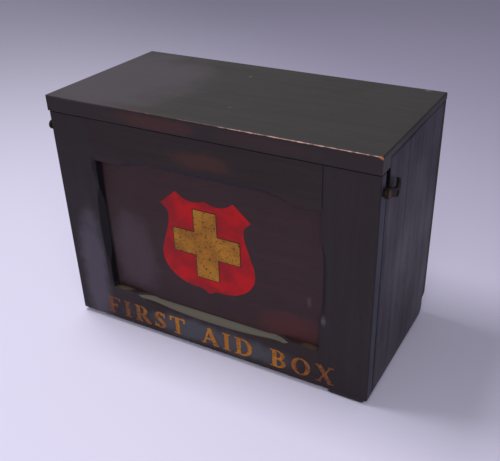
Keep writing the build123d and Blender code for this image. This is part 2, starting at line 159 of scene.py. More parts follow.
def stretch(tree, value, low, high, new_low=0.0, new_high=1.0):
    """Moves a value from one range to another with soft ends."""
    inputs = {"Value": value, "From Min": low, "From Max": high, "To Min": new_low, "To Max": new_high}
    return add(tree, "ShaderNodeMapRange", inputs, interpolation_type="SMOOTHSTEP").outputs[0]


def mixed(tree, amount, first, second):
    """The first colour where amount is 0, the second where it is 1."""
    made = add(tree, "ShaderNodeMix", data_type="RGBA")
    for index, value in ((0, amount), (6, first), (7, second)):
        if isinstance(value, bpy.types.NodeSocket):
            tree.links.new(value, made.inputs[index])
        else:
            made.inputs[index].default_value = value
    return made.outputs[2]


def noise(tree, place, scale, detail=3.0, roughness=0.55, distortion=0.0):
    """Cloudy noise from 0 to 1. A larger scale makes it finer."""
    inputs = {"Vector": place, "Scale": scale, "Detail": detail, "Roughness": roughness,
              "Distortion": distortion}
    return add(tree, "ShaderNodeTexNoise", inputs).outputs[0]


def object_place(tree):
    """Where a point lies on its own object, in metres."""
    return add(tree, "ShaderNodeTexCoord").outputs["Object"]


def shader_group(title, inputs, outputs):
    """A node group with named sockets, and its two ends."""
    group = bpy.data.node_groups.new(title, "ShaderNodeTree")
    for name, kind, value in inputs:
        socket = group.interface.new_socket(name, in_out="INPUT", socket_type=kind)
        socket.default_value = value
    for name in outputs:
        group.interface.new_socket(name, in_out="OUTPUT", socket_type="NodeSocketFloat")
    source = group.nodes.new("NodeGroupInput").outputs
    result = group.nodes.new("NodeGroupOutput").inputs
    return group, source, result


def use(tree, group, **values):
    """Places a shader group in a material with its own values."""
    made = tree.nodes.new("ShaderNodeGroup")
    made.node_tree = group
    for name, value in values.items():
        socket = made.inputs[name]
        if isinstance(value, bpy.types.NodeSocket):
            tree.links.new(value, socket)
        else:
            socket.default_value = value
    return made.outputs


def new_finish(title):
    """A material with one Principled shader, ready to be linked."""
    material = bpy.data.materials.new(title)
    material.use_nodes = True
    return material, material.node_tree, material.node_tree.nodes["Principled BSDF"]


def bump(tree, height, strength, distance):
    """A normal that follows a height."""
    inputs = {"Height": height, "Strength": strength, "Distance": distance}
    return add(tree, "ShaderNodeBump", inputs).outputs[0]

# %% [markdown]
# ## Effects that several finishes share
# Grain, lines of wear and painted light, soft patches and smudges each become a shader group. A group puts
# out masks from 0 to 1, and each material decides which colours the mask blends.
#
# Grain is noise that is squeezed across the board and drawn out along it. A line follows an arris or a
# joint between two points and marks wear, dirt, painted highlights and painted shadows; noise breaks up its
# width.

# %% Wood grain
FLOAT, VECTOR = "NodeSocketFloat", "NodeSocketVector"
grain, grain_in, grain_out = shader_group(
    "wood grain", [("Along", VECTOR, (1, 1, 1))], ["Streaks", "Pores", "Height"])
here = vector_calc(grain, "MULTIPLY", object_place(grain), grain_in["Along"])[0]
figure = noise(grain, here, 1.0, 5.0, 0.62, 0.6)
fibre = noise(grain, here, 6.0, 3.0, 0.7, 0.1)
pores = noise(grain, here, 15.0, 2.0, 0.5)
grain.links.new(stretch(grain, figure, 0.34, 0.68), grain_out["Streaks"])
grain.links.new(stretch(grain, pores, 0.56, 0.7), grain_out["Pores"])
pitted = stretch(grain, pores, 0.54, 0.7, 0, 0.6)
height = calc(grain, "SUBTRACT", times(grain, fibre, 0.5), pitted)
grain.links.new(height, grain_out["Height"])

# %% Lines of wear and painted light
wear_and_light_line, wear_and_light_line_in, wear_and_light_line_out = shader_group(
    "wear and painted light line",
    [("Start", VECTOR, (0, 0, 0)), ("Stop", VECTOR, (1, 0, 0)), ("Width", FLOAT, 1.0 * MM),
     ("Grit", FLOAT, 90.0), ("Gaps", FLOAT, 0.5), ("Amount", FLOAT, 1.0)], ["Mask"])
here = object_place(wear_and_light_line)
run = vector_calc(wear_and_light_line, "SUBTRACT", wear_and_light_line_in["Stop"], wear_and_light_line_in["Start"])[0]
way = vector_calc(wear_and_light_line, "NORMALIZE", run)[0]
from_start = vector_calc(wear_and_light_line, "SUBTRACT", here, wear_and_light_line_in["Start"])[0]
length = vector_calc(wear_and_light_line, "LENGTH", run)[1]
share = calc(wear_and_light_line, "DIVIDE", vector_calc(wear_and_light_line, "DOT_PRODUCT", from_start, way)[1], length)
away = vector_calc(wear_and_light_line, "LENGTH", vector_calc(wear_and_light_line, "CROSS_PRODUCT", from_start, way)[0])[1]
FADE_IN, FADE_OUT = 0.08, 0.96
ends = times(wear_and_light_line, stretch(wear_and_light_line, share, 0.0, FADE_IN), stretch(wear_and_light_line, share, 1.0, FADE_OUT))
grit = stretch(wear_and_light_line, noise(wear_and_light_line, here, wear_and_light_line_in["Grit"], 4.0, 0.65), 0.3, 0.7, 1.4)
reach = times(wear_and_light_line, wear_and_light_line_in["Width"], calc(wear_and_light_line, "SUBTRACT", grit, wear_and_light_line_in["Gaps"]))
hit = stretch(wear_and_light_line, calc(wear_and_light_line, "SUBTRACT", reach, away), 0.0, times(wear_and_light_line, wear_and_light_line_in["Width"], 0.5))
wear_and_light_line.links.new(times(wear_and_light_line, hit, ends, wear_and_light_line_in["Amount"]), wear_and_light_line_out["Mask"])

# %% Soft patches
patch, patch_in, patch_out = shader_group(
    "soft patch",
    [("Centre", VECTOR, (0, 0, 0)), ("Size", VECTOR, (1, 1, 1)), ("Break", FLOAT, 60.0),
     ("Amount", FLOAT, 1.0)], ["Mask"])
here = object_place(patch)
scaled = vector_calc(patch, "DIVIDE", vector_calc(patch, "SUBTRACT", here, patch_in["Centre"])[0],
                     patch_in["Size"])[0]
broken = calc(patch, "MULTIPLY", noise(patch, here, patch_in["Break"], 4.0, 0.6), 0.9)
edge = calc(patch, "ADD", vector_calc(patch, "LENGTH", scaled)[1], calc(patch, "SUBTRACT", broken, 0.45))
patch.links.new(times(patch, stretch(patch, edge, 1.0, 0.4), patch_in["Amount"]), patch_out["Mask"])

# %% Smudges and scuffs
smudge, smudge_in, smudge_out = shader_group("smudges", [("Scale", FLOAT, 14.0)], ["Cloud", "Scuffs"])
here = object_place(smudge)
cloud = noise(smudge, here, smudge_in["Scale"], 4.0, 0.6, 0.3)
smudge.links.new(stretch(smudge, cloud, 0.35, 0.7), smudge_out["Cloud"])
cells = add(smudge, "ShaderNodeTexVoronoi",
            {"Vector": here, "Scale": calc(smudge, "MULTIPLY", smudge_in["Scale"], 2.2), "Randomness": 1.0})
chance = stretch(smudge, noise(smudge, here, 31.0, 2.0), 0.62, 0.68)
spot = stretch(smudge, cells.outputs["Distance"], 0.07, 0.02)
smudge.links.new(calc(smudge, "MULTIPLY", spot, chance), smudge_out["Scuffs"])

# %% [markdown]
# ## Stained wood
# The case is a plain cabinet wood under nearly black stain and old shellac. Streaks of the red-brown wood
# show where the stain is thin. The same tree makes every board, with its own colours, grain direction,
# lines and patches; some lines, patches and facing colours are painted light. Where a bevel slopes up it
# has lost its stain.

# %% Build a stained wood
GRAIN_X = (5.0, 110.0, 110.0)
GRAIN_Z = (110.0, 110.0, 5.0)
GRAIN_SIDE = (110.0, 160.0, 4.0)
PORE = srgb(20, 17, 19)
# Near-black for real joints, and also painted shadow where it is laid beside the panel and in the gap at
# the side.
DIRT_AND_SHADE = srgb(12, 10, 13)
SCUFF = srgb(120, 112, 116)
SMUDGE_SCALE = 11.0
FIBRE_STRENGTH, FIBRE_HEIGHT = 0.25, 0.25 * MM
PORE_SHARE, SCUFF_SHARE = 0.35, 0.5
CLOUD_DULL = 0.12
FACING_EDGE = 0.06
FACING_ON_STREAKS = 0.75
BOW_POWER, BOW_EDGE = 2.3, 0.8 * MM


def layered(tree, colour, group, rows, keys):
    """Blends a colour over another for each row of group inputs."""
    for *values, tone in rows:
        mask = use(tree, group, **dict(zip(keys, values)))["Mask"]
        colour = mixed(tree, mask, colour, tone)
    return colour


def above_bow(tree, half_length, foot, rise):
    """1 between a level line and a line below it that bows down from both ends to its middle."""
    place = add(tree, "ShaderNodeSeparateXYZ", {0: object_place(tree)}).outputs
    share = calc(tree, "DIVIDE", calc(tree, "ABSOLUTE", place[0]), half_length)
    bow = calc(tree, "ADD", times(tree, calc(tree, "POWER", share, BOW_POWER), rise), foot)
    below = stretch(tree, place[2], foot + rise + 1.0 * MM, foot + rise + 0.4 * MM)
    return times(tree, below, stretch(tree, calc(tree, "SUBTRACT", place[2], bow), 0.0, BOW_EDGE))


def stained_wood(title, stain, thin, along, rough=0.5, streak_amount=0.4, gloss=0.3, lines=(), patches=(),
                 facing=()):
    """Stain colour, the colour where it is thin, and grain direction, with marks laid over them.

    facing: direction, how near a surface must face it, lens shape or None, colour; it paints sheen,
    reflection and bounce light, and also worn and stained faces
    patches: centre, size, how finely the edge breaks up, amount, colour
    lines: start, stop, width, grit, gaps, amount, colour
    """
    material, tree, shader = new_finish(title)
    wood = use(tree, grain, Along=along)
    marks = use(tree, smudge, Scale=SMUDGE_SCALE)
    colour = mixed(tree, times(tree, wood["Streaks"], streak_amount), stain, thin)
    colour = mixed(tree, times(tree, wood["Pores"], PORE_SHARE), colour, PORE)
    for direction, near, lens, tone in facing:
        normal = add(tree, "ShaderNodeTexCoord").outputs["Normal"]
        lean = vector_calc(tree, "DOT_PRODUCT", normal, Vector(direction).normalized())[1]
        mask = stretch(tree, lean, near, near + FACING_EDGE)
        if lens:
            mask = times(tree, mask, above_bow(tree, *lens))
        mask = times(tree, mask, stretch(tree, wood["Streaks"], 0, 1, 1.0, FACING_ON_STREAKS))
        colour = mixed(tree, mask, colour, tone)
    colour = layered(tree, colour, patch, patches, ("Centre", "Size", "Break", "Amount"))
    colour = layered(tree, colour, wear_and_light_line, lines, ("Start", "Stop", "Width", "Grit", "Gaps", "Amount"))
    colour = mixed(tree, times(tree, marks["Scuffs"], SCUFF_SHARE), colour, SCUFF)
    tree.links.new(colour, shader.inputs["Base Color"])
    dull = calc(tree, "ADD", rough, times(tree, marks["Cloud"], CLOUD_DULL))
    tree.links.new(dull, shader.inputs["Roughness"])
    shader.inputs["Specular IOR Level"].default_value = gloss
    tree.links.new(bump(tree, wood["Height"], FIBRE_STRENGTH, FIBRE_HEIGHT), shader.inputs["Normal"])
    return material


def at(x, y, z):
    """A point given in millimetres."""
    return Vector((x, y, z)) * MM


def line_across(y, z, start, stop, width, *look):
    """A line for wear, dirt, painted highlight and painted shadow, from left to right, in millimetres."""
    return (at(start, y, z), at(stop, y, z), width * MM, *look)


def line_up(x, y, low, high, width, *look):
    """A line for wear, dirt, painted highlight and painted shadow, from low to high, in millimetres."""
    return (at(x, y, low), at(x, y, high), width * MM, *look)


def line_inward(x, z, start, stop, width, *look):
    """A line for wear, dirt, painted highlight and painted shadow, from front to back, in millimetres."""
    return (at(x, start, z), at(x, stop, z), width * MM, *look)

# %% [markdown]
# The marks below are partly the ones that a long life of use left and partly painted light. The lid's front
# arris is rubbed down to pale wood towards the right, and a pale lens is worn into the lower rail's bevel.
# Dirt fills the joints. Faces that turn up or to the right are painted paler than the front as painted
# sheen and reflection, the rails' down-facing bevels take painted bounce light, and painted highlights and
# shadows lie along the stiles, the panel's left edge and the gap at the side.

# %% Wood finishes
front_y = front_face / MM
panel_y = panel_face / MM
half = half_width / MM
inner = opening_half / MM
lid_front = lid_low.y / MM
lid_top = lid_high.z / MM
# Painted sheen: the lid's top is painted paler than its front, and its right end a paler grey as painted
# reflection. The broad pale patch over the left of the top is painted glare.
lid_wood = stained_wood(
    "lid wood", srgb(36, 29, 32), srgb(46, 33, 34), GRAIN_X, rough=0.42, gloss=0.25,
    facing=[((0, 0, 1), 0.9, None, srgb(52, 48, 48)), ((1, 0, 0), 0.9, None, srgb(46, 42, 48))],
    lines=[line_across(lid_front, lid_top, -90, 70, 0.9, 120.0, 0.3, 0.9, srgb(122, 50, 38)),
           line_across(lid_front, lid_top, 20, half, 0.85, 140.0, 0.1, 1.0, srgb(206, 156, 144)),
           (at(half - 3, lid_front, lid_top), at(half + 1, lid_front, lid_top - 2), 1.3 * MM,
            90.0, 0.2, 1.0, srgb(160, 96, 62)),
           line_inward(half, lid_top - 8, -75, 20, 1.8, 40.0, -0.2, 1.0, DIRT_AND_SHADE)],
    patches=[(at(-140, -20, lid_top), at(110, 130, 3), 20.0, 0.8, srgb(70, 63, 70)),
             (at(-21, 47, lid_top), at(3, 3, 2), 300.0, 0.5, srgb(96, 92, 96)),
             (at(8, -43, lid_top), at(3, 2, 2), 300.0, 0.4, srgb(96, 92, 96)),
             (at(-75, 87, lid_top), at(3, 2, 2), 300.0, 0.5, srgb(96, 92, 96)),
             (at(160, 83, lid_top), at(4, 3, 2), 300.0, 0.5, srgb(110, 106, 116)),
             (at(-45, lid_front, lid_top - 9), at(60, 4, 9), 80.0, 0.6, srgb(70, 34, 32)),
             (at(70, lid_front, lid_top - 9), at(70, 4, 9), 80.0, 0.3, srgb(62, 36, 34))])
rail_end = line_up(inner, front_y, 203, 246, 0.9, 60.0, 0.2, 0.9, DIRT_AND_SHADE)
LENS_HALF_LENGTH, LENS_FOOT, LENS_RISE = 105 * MM, 39.8 * MM, 6.6 * MM
LENS = (LENS_HALF_LENGTH, LENS_FOOT, LENS_RISE)
# Painted bounce light: the rails' bevels that face down and forward are painted a pale lilac. The broad
# pale bluish patch low on the bottom rail is a painted reflection of the floor.
rail_wood = stained_wood(
    "rail wood", srgb(40, 31, 34), srgb(52, 38, 39), GRAIN_X, gloss=0.18,
    facing=[((0, -1, 1), 0.82, LENS, srgb(100, 95, 85)), ((0, -1, -1), 0.9, None, srgb(44, 38, 48))],
    lines=[rail_end],
    patches=[(at(2, front_y, 224), at(42, 4, 12), 50.0, 0.5, srgb(76, 44, 34)),
             (at(0, front_y, 22), at(130, 4, 18), 40.0, 0.9, srgb(72, 71, 78)),
             (at(-112, front_y + 3, 49), at(14, 5, 1), 90.0, 0.8, srgb(92, 78, 62)),
             (at(114, front_y + 3, 49), at(12, 5, 1), 90.0, 0.5, srgb(92, 74, 52))])
# Painted reflection: faces of the stiles that turn to the right are painted bluish. The pale bluish line
# along the right stile's outer arris is a painted highlight, and the wide near-black band up the left
# stile's inner side is painted shadow.
stile_wood = stained_wood(
    "stile wood", srgb(40, 32, 37), srgb(48, 39, 43), GRAIN_Z, gloss=0.18,
    facing=[((1, 0, 0), 0.9, None, srgb(62, 60, 74))],
    lines=[rail_end,
           line_up(half, front_y, 6, 244, 1.0, 60.0, 0.5, 0.8, srgb(92, 90, 110)),
           line_up(-inner, panel_y, 44, 206, 7.0, 30.0, -0.2, 0.9, DIRT_AND_SHADE)],
    patches=[(at(130, front_y + 2, 86), at(4, 5, 8), 200.0, 0.5, srgb(96, 94, 100)),
             (at(-half, front_y, 6), at(8, 6, 4), 160.0, 0.6, srgb(88, 76, 76)),
             (at(-150, front_y, 60), at(24, 5, 100), 30.0, 0.8, srgb(82, 74, 88))])
# Painted shadow: the near-black line up the panel's left edge.
panel_wood = stained_wood(
    "panel wood", srgb(50, 35, 38), srgb(62, 40, 42), GRAIN_X, gloss=0.18, streak_amount=0.5,
    lines=[line_up(-inner, panel_y, 44, 206, 3.0, 30.0, 0.0, 0.8, DIRT_AND_SHADE)],
    patches=[(at(95, panel_y, 62), at(46, 5, 26), 30.0, 0.7, srgb(76, 38, 39)),
             (at(-95, panel_y, 95), at(34, 5, 60), 30.0, 0.7, srgb(74, 60, 68)),
             (at(112, panel_y, 98), at(3, 4, 8), 200.0, 0.5, srgb(80, 68, 74))])
side_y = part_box("side_right")[0].y / MM
SIDE_TOP = 255
# The near-black line up the side's front edge, where it meets the stile, is a dark joint with painted shade
# of the gap, and a wider band of it runs over the upper half. The lines along the top follow the joint with
# the lid.
side_wood = stained_wood(
    "side wood", srgb(38, 32, 40), srgb(69, 62, 76), GRAIN_SIDE, rough=0.42, gloss=0.2, streak_amount=0.8,
    lines=[line_up(half, side_y, 0, 240, 2.6, 30.0, -0.3, 1.0, DIRT_AND_SHADE),
           line_up(half, side_y, 130, 250, 7.0, 30.0, -0.1, 1.0, DIRT_AND_SHADE),
           line_inward(half, SIDE_TOP, side_y, -5, 2.0, 30.0, -0.3, 1.0, DIRT_AND_SHADE),
           line_inward(half, SIDE_TOP, -20, 92, 0.8, 30.0, -0.2, 1.0, DIRT_AND_SHADE)])
back_wood = stained_wood(
    "back wood", srgb(50, 42, 42), srgb(74, 58, 52), GRAIN_X, rough=0.65, streak_amount=0.7)
foot_wood = stained_wood("foot wood", srgb(34, 29, 31), srgb(50, 40, 40), GRAIN_X)
inside_wood = stained_wood(
    "inside wood", srgb(118, 84, 58), srgb(148, 108, 74), GRAIN_X, rough=0.7, streak_amount=0.75,
    facing=[((0, 1, 0), 0.9, None, srgb(48, 40, 40))])
print("wood finishes:", len(bpy.data.materials))

# %% [markdown]
# ## Metal and paint
# The hooks are brass that has gone nearly black, and their round screws are brown. Hinges, other screws and
# nails are dark iron with a little rust. Paint is a base colour with a second tone in clouds, dark specks
# where it has flaked, and a fade towards the ends of the lettering.

# %% Brass and iron
def old_metal(title, bright, dull, spots, metallic, rough, gloss=0.5):
    """Bright metal under a dull tarnish, with spots that have corroded."""
    material, tree, shader = new_finish(title)
    here = object_place(tree)
    tarnish = stretch(tree, noise(tree, here, 260.0, 4.0, 0.6), 0.35, 0.6)
    rust = stretch(tree, noise(tree, here, 700.0, 3.0, 0.6), 0.58, 0.7)
    colour = mixed(tree, rust, mixed(tree, tarnish, bright, dull), spots)
    tree.links.new(colour, shader.inputs["Base Color"])
    tree.links.new(stretch(tree, tarnish, 0, 1, metallic, metallic * 0.5), shader.inputs["Metallic"])
    tree.links.new(stretch(tree, rust, 0, 1, rough, 0.8), shader.inputs["Roughness"])
    shader.inputs["Specular IOR Level"].default_value = gloss
    tree.links.new(bump(tree, noise(tree, here, 900.0, 2.0), 0.3, 0.1 * MM), shader.inputs["Normal"])
    return material


brass = old_metal("aged brass", srgb(110, 74, 44), srgb(50, 36, 30), srgb(24, 20, 21), 0.3, 0.5, 0.25)
hook_brass = old_metal(
    "blackened brass", srgb(48, 35, 29), srgb(24, 19, 19), srgb(14, 12, 12), 0.1, 0.6, 0.1)
iron = old_metal("dark iron", srgb(78, 74, 74), srgb(52, 46, 44), srgb(86, 52, 38), 0.8, 0.5)


# %% Old paint
PAINT_GLOSS = 0.15
PAINT_ROUGH, FLAKED_ROUGH = 0.5, 0.8
FLAKE_EDGE, FLAKE_SHARE = 0.08, 0.85


def old_paint(title, main, second, fleck, fleck_low, metallic=0.0, fade=None):
    """Main and second colours in clouds, with flecks where noise passes fleck_low.

    fade: half reach, middle, worn colour
    """
    material, tree, shader = new_finish(title)
    here = object_place(tree)
    colour = mixed(tree, stretch(tree, noise(tree, here, 45.0, 4.0, 0.6), 0.35, 0.65), main, second)
    if fade:
        half_reach, middle, worn = fade
        along = add(tree, "ShaderNodeSeparateXYZ", {0: here}).outputs[0]
        off = calc(tree, "ABSOLUTE", calc(tree, "SUBTRACT", along, middle))
        gone = stretch(tree, calc(tree, "DIVIDE", off, half_reach), 0.15, 0.95)
        uneven = stretch(tree, noise(tree, here, 120.0, 4.0, 0.7), 0.3, 0.7, -0.3, 0.3)
        colour = mixed(tree, calc(tree, "ADD", gone, uneven), colour, worn)
    loss = stretch(tree, noise(tree, here, 380.0, 4.0, 0.7), fleck_low, fleck_low + FLAKE_EDGE)
    colour = mixed(tree, times(tree, loss, FLAKE_SHARE), colour, fleck)
    tree.links.new(colour, shader.inputs["Base Color"])
    shader.inputs["Metallic"].default_value = metallic
    tree.links.new(stretch(tree, loss, 0, 1, PAINT_ROUGH, FLAKED_ROUGH), shader.inputs["Roughness"])
    shader.inputs["Specular IOR Level"].default_value = PAINT_GLOSS
    tree.links.new(bump(tree, noise(tree, here, 500.0, 3.0), 0.2, 0.1 * MM), shader.inputs["Normal"])
    return material


red_paint = old_paint("red paint", srgb(178, 17, 23), srgb(140, 20, 28), srgb(70, 26, 30), 0.68)
gold_paint = old_paint("gold paint", srgb(172, 116, 40), srgb(142, 92, 32), srgb(60, 40, 26), 0.55, 0.15)
line_paint = old_paint("dark line", srgb(54, 28, 22), srgb(70, 40, 24), srgb(34, 20, 20), 0.65)
letter_paint = old_paint("letter gold", srgb(188, 122, 38), srgb(158, 96, 32), srgb(52, 40, 40), 0.56, 0.15,
                         fade=(155 * MM, 10 * MM, srgb(108, 62, 38)))
print("finishes:", len(bpy.data.materials))

# %% [markdown]
# ## Boards with worn arrises
# A CAD board has knife-sharp arrises, and no real board has. Each board is copied, its loose triangles are
# merged, flat faces are joined, and the long outer arrises get a narrow bevel that catches the light. A
# weighted normal then keeps the broad faces flat.

# %% Round the arrises of a copied board
SHARP_ANGLE = math.radians(18.0)
ARRIS_ANGLE = math.radians(50.0)
FLAT_ANGLE = math.radians(0.5)
MERGE_GAP = 0.002 * MM
JOINT_GAP = 0.01 * MM


def finished(name, mesh, body, material, node_names=()):
    """Makes the piece that stands for the given CAD nodes, or that adds to them."""
    mesh.materials.clear()
    mesh.materials.append(material)
    mesh.polygons.foreach_set("use_smooth", [True] * len(mesh.polygons))
    mesh.set_sharp_from_angle(angle=SHARP_ANGLE)
    piece = bpy.data.objects.new(name, mesh)
    bpy.context.scene.collection.objects.link(piece)
    flat = piece.modifiers.new("flat faces", "WEIGHTED_NORMAL")
    flat.keep_sharp = True
    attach(piece, body)
    if node_names:
        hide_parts(*node_names)
    return piece


def in_joint(edge):
    """True on the frame's flush joints, where rail and stile were planed together."""
    return all(abs(abs(v.co.x) - opening_half) < JOINT_GAP and abs(v.co.y - front_face) < JOINT_GAP
               for v in edge.verts)


def is_arris(edge, shortest):
    """Sharp, outward and long enough to be worn by hands."""
    if len(edge.link_faces) != 2 or edge.calc_length() < shortest or in_joint(edge):
        return False
    return edge.is_convex and edge.calc_face_angle() > ARRIS_ANGLE


def softened(node, width, material, segments=3, shortest=8 * MM):
    """A copy of a CAD node with narrow bevels, standing for that node."""
    source = nodes[node]
    bm = bmesh.new()
    bm.from_mesh(source.data)
    bmesh.ops.remove_doubles(bm, verts=bm.verts, dist=MERGE_GAP)
    bmesh.ops.dissolve_limit(bm, angle_limit=FLAT_ANGLE, verts=bm.verts, edges=bm.edges)
    arrises = [edge for edge in bm.edges if is_arris(edge, shortest)]
    if width:
        bmesh.ops.bevel(bm, geom=arrises, offset=width, offset_type="OFFSET", segments=segments,
                        profile=0.5, affect="EDGES", clamp_overlap=False, material=-1)
    bmesh.ops.triangulate(bm, faces=[face for face in bm.faces if len(face.verts) > 4])
    mesh = bpy.data.meshes.new(node + "_worn")
    bm.to_mesh(mesh)
    bm.free()
    piece = finished(node + "_worn", mesh, source["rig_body"], material, [node])
    print(node, "arrises", len(arrises), "faces", len(mesh.polygons))
    return piece


softened("lid_board", 0.6 * MM, lid_wood)
for side in ("left", "right"):
    softened("side_" + side, 0.5 * MM, side_wood)
    softened("front_stile_" + side, 0.4 * MM, stile_wood)
    for end in ("front", "back"):
        softened(f"foot_{end}_{side}", 0.4 * MM, foot_wood, shortest=3 * MM)
    softened("hook_" + side, 0.45 * MM, hook_brass, shortest=0.2 * MM)
    softened("hook_screw_" + side, 0.0, brass)
    softened("hook_washer_" + side, 0.2 * MM, hook_brass, shortest=0.2 * MM)
    softened("catch_stud_" + side, 0.0, brass)
for rail in ("top", "bottom"):
    softened("front_rail_" + rail, 0.4 * MM, rail_wood)
for board in ("lower", "upper"):
    softened("back_board_" + board, 0.4 * MM, back_wood)
softened("front_panel", 0.2 * MM, panel_wood)
softened("front_pad_right", 0.4 * MM, foot_wood, shortest=3 * MM)

# %% [markdown]
# ## The painted shield
# Half of the shield's outline is a Bezier curve, mirrored for the other half. The curve is filled, given
# the thickness of a paint coat and stood up on the panel. The cross and its dark outline are coats on top.

# %% A coat of paint from a flat shape
COAT = 0.12 * MM
SUNK = 0.05 * MM


def stand_up(mesh, place):
    """Turns a shape drawn flat to face the front, and moves its origin to a point."""
    mesh.transform(Matrix.Translation(place) @ Matrix.Rotation(math.radians(90), 4, "X"))


SHIELD_CENTRE = at(-1.5, panel_y, 122)
SHIELD_HALF = [(0, 57.5, "VECTOR"), (13, 54.3, "AUTO"), (24, 56.5, "AUTO"), (33, 62, "VECTOR"),
               (52, 46, "VECTOR"), (44.3, 37.5, "AUTO"), (44, 27, "AUTO"), (50, 7, "AUTO"),
               (54.8, -13, "AUTO"), (50, -28, "AUTO"), (38, -38.5, "AUTO"), (22, -44, "AUTO"),
               (8, -45, "AUTO"), (0, -49.5, "VECTOR")]
outline = SHIELD_HALF + [(-x, z, kind) for x, z, kind in SHIELD_HALF[-2:0:-1]]
drawing = bpy.data.curves.new("shield outline", "CURVE")
drawing.dimensions = "2D"
drawing.fill_mode = "BOTH"
drawing.resolution_u = 8
drawing.extrude = (COAT + SUNK) / 2
spline = drawing.splines.new("BEZIER")
spline.bezier_points.add(len(outline) - 1)
spline.use_cyclic_u = True
for point, (x, z, kind) in zip(spline.bezier_points, outline):
    point.co = (x * MM, z * MM, 0)
    point.handle_left_type = kind
    point.handle_right_type = kind
sketch = bpy.data.objects.new("shield outline", drawing)
bpy.context.scene.collection.objects.link(sketch)
bpy.context.view_layer.update()
shield_mesh = bpy.data.meshes.new_from_object(sketch)
bpy.data.objects.remove(sketch)
shield_mesh.name = "shield"
stand_up(shield_mesh, SHIELD_CENTRE + Vector((0, -(COAT - SUNK) / 2, 0)))
finished("shield", shield_mesh, "front", red_paint)
print("shield faces", len(shield_mesh.polygons))


# %% Brush strokes: straight bars and bowls
RING_OUTER, RING_INNER = 1.0, 0.5
RING_MIDDLE = (RING_OUTER + RING_INNER) / 2


def bar(bm, start, stop, width):
    """A straight stroke between two points on the flat."""
    start, stop = Vector(start), Vector(stop)
    run = stop - start
    place = Matrix.Translation(((start + stop) / 2).to_3d())
    turned = Matrix.Rotation(math.atan2(run.y, run.x), 4, "Z")
    size = Matrix.Diagonal((run.length, width, 1, 1))
    bmesh.ops.create_grid(bm, x_segments=1, y_segments=1, size=0.5, matrix=place @ turned @ size)


def bowl(bm, centre, radii, thick, thin, start, stop, steps=20):
    """An arc of an oval ring, thick at its sides and thin above and below. Angles are in degrees."""
    old = set(bm.verts)
    turned = Matrix.Rotation(math.radians(start), 3, "Z")
    first = [bm.verts.new(turned @ Vector((radius, 0, 0))) for radius in (RING_OUTER, RING_INNER)]
    edge = bm.edges.new(first)
    bmesh.ops.spin(bm, geom=first + [edge], cent=(0, 0, 0), axis=(0, 0, 1), steps=steps,
                   angle=math.radians(stop - start), use_duplicate=False)
    made = [v for v in bm.verts if v not in old]
    outer_verts = [v for v in made if v.co.length > RING_MIDDLE]
    inner_verts = [v for v in made if v.co.length < RING_MIDDLE]
    bmesh.ops.scale(bm, vec=(radii[0], radii[1], 1), verts=outer_verts)
    hole = ((radii[0] - thick) / RING_INNER, (radii[1] - thin) / RING_INNER, 1)
    bmesh.ops.scale(bm, vec=hole, verts=inner_verts)
    bmesh.ops.remove_doubles(bm, verts=made, dist=1e-6)
    made = [v for v in bm.verts if v not in old]
    bmesh.ops.translate(bm, vec=(centre[0], centre[1], 0), verts=made)


def coat_object(name, strokes, scale, coat):
    """All strokes as flat islands, given the thickness of a coat."""
    bm = bmesh.new()
    for draw, *values in strokes:
        draw(bm, *values)
    bmesh.ops.scale(bm, vec=(scale[0], scale[1], 1), verts=bm.verts)
    bmesh.ops.recalc_face_normals(bm, faces=bm.faces)
    for face in bm.faces:
        if face.normal.z < 0:
            face.normal_flip()
    low = bmesh.ops.extrude_face_region(bm, geom=bm.faces[:])
    raised = [part for part in low["geom"] if isinstance(part, bmesh.types.BMVert)]
    bmesh.ops.translate(bm, vec=(0, 0, coat), verts=raised)
    bmesh.ops.recalc_face_normals(bm, faces=bm.faces)
    mesh = bpy.data.meshes.new(name)
    bm.to_mesh(mesh)
    bm.free()
    made = bpy.data.objects.new(name, mesh)
    bpy.context.scene.collection.objects.link(made)
    return made


def painted(name, bars, bowls, scale, coat, place, material):
    """A coat of paint from two lists of strokes, joined into one clean shape."""
    base = coat_object(name + "_strokes", bars, scale, coat + SUNK)
    more = coat_object(name + "_bowls", bowls, scale, coat + SUNK)
    union = base.modifiers.new("union", "BOOLEAN")
    union.operation = "UNION"
    union.solver = "EXACT"
    union.use_self = True
    union.object = more
    bpy.context.view_layer.update()
    joined = base.evaluated_get(bpy.context.evaluated_depsgraph_get())
    mesh = bpy.data.meshes.new_from_object(joined)
    bpy.data.objects.remove(base)
    bpy.data.objects.remove(more)
    mesh.name = name
    stand_up(mesh, place + Vector((0, SUNK, 0)))
    finished(name, mesh, "front", material)
    print(name, "faces", len(mesh.polygons))


# %% The cross and its outline
CROSS_CENTRE = at(-1.8, panel_y, 129.8)
ARM, ARM_WIDTH, LINE_WIDTH = 38.7, 26.0, 1.0
for name, grow, layers, material in (("cross_outline", LINE_WIDTH, 2, line_paint),
                                     ("cross", 0.0, 3, gold_paint)):
    reach, width = ARM + grow, ARM_WIDTH + 2 * grow
    painted(name, [(bar, (-reach, 0), (reach, 0), width)], [(bar, (0, -reach), (0, reach), width)],
            (MM, MM), layers * COAT, CROSS_CENTRE, material)

# %% [markdown]
# ## The lettering
# The front carries a line of gilt capitals. Each letter is a few strokes in a square one unit high: broad
# stems, hairlines, serifs and bowls that swell at their sides, as a signwriter's brush makes them.

# %% Letters from strokes
STEM, HAIR, SERIF = 0.2, 0.085, 0.07
FOOT, HEAD = SERIF / 2, 1 - SERIF / 2


def stem(x):
    """A broad upright stroke."""
    return (bar, (x, 0.0), (x, 1.0), STEM)


def serif(x, z, reach=0.19):
    """A short level stroke at the foot or head of a stem."""
    middle = HEAD if z else FOOT
    return (bar, (x - reach, middle), (x + reach, middle), SERIF)


def tick(x, low, high):
    """A thin upright stroke."""
    return (bar, (x, low), (x, high), HAIR)


def hairline(start, stop):
    """A thin stroke at any slope."""
    return (bar, start, stop, HAIR)


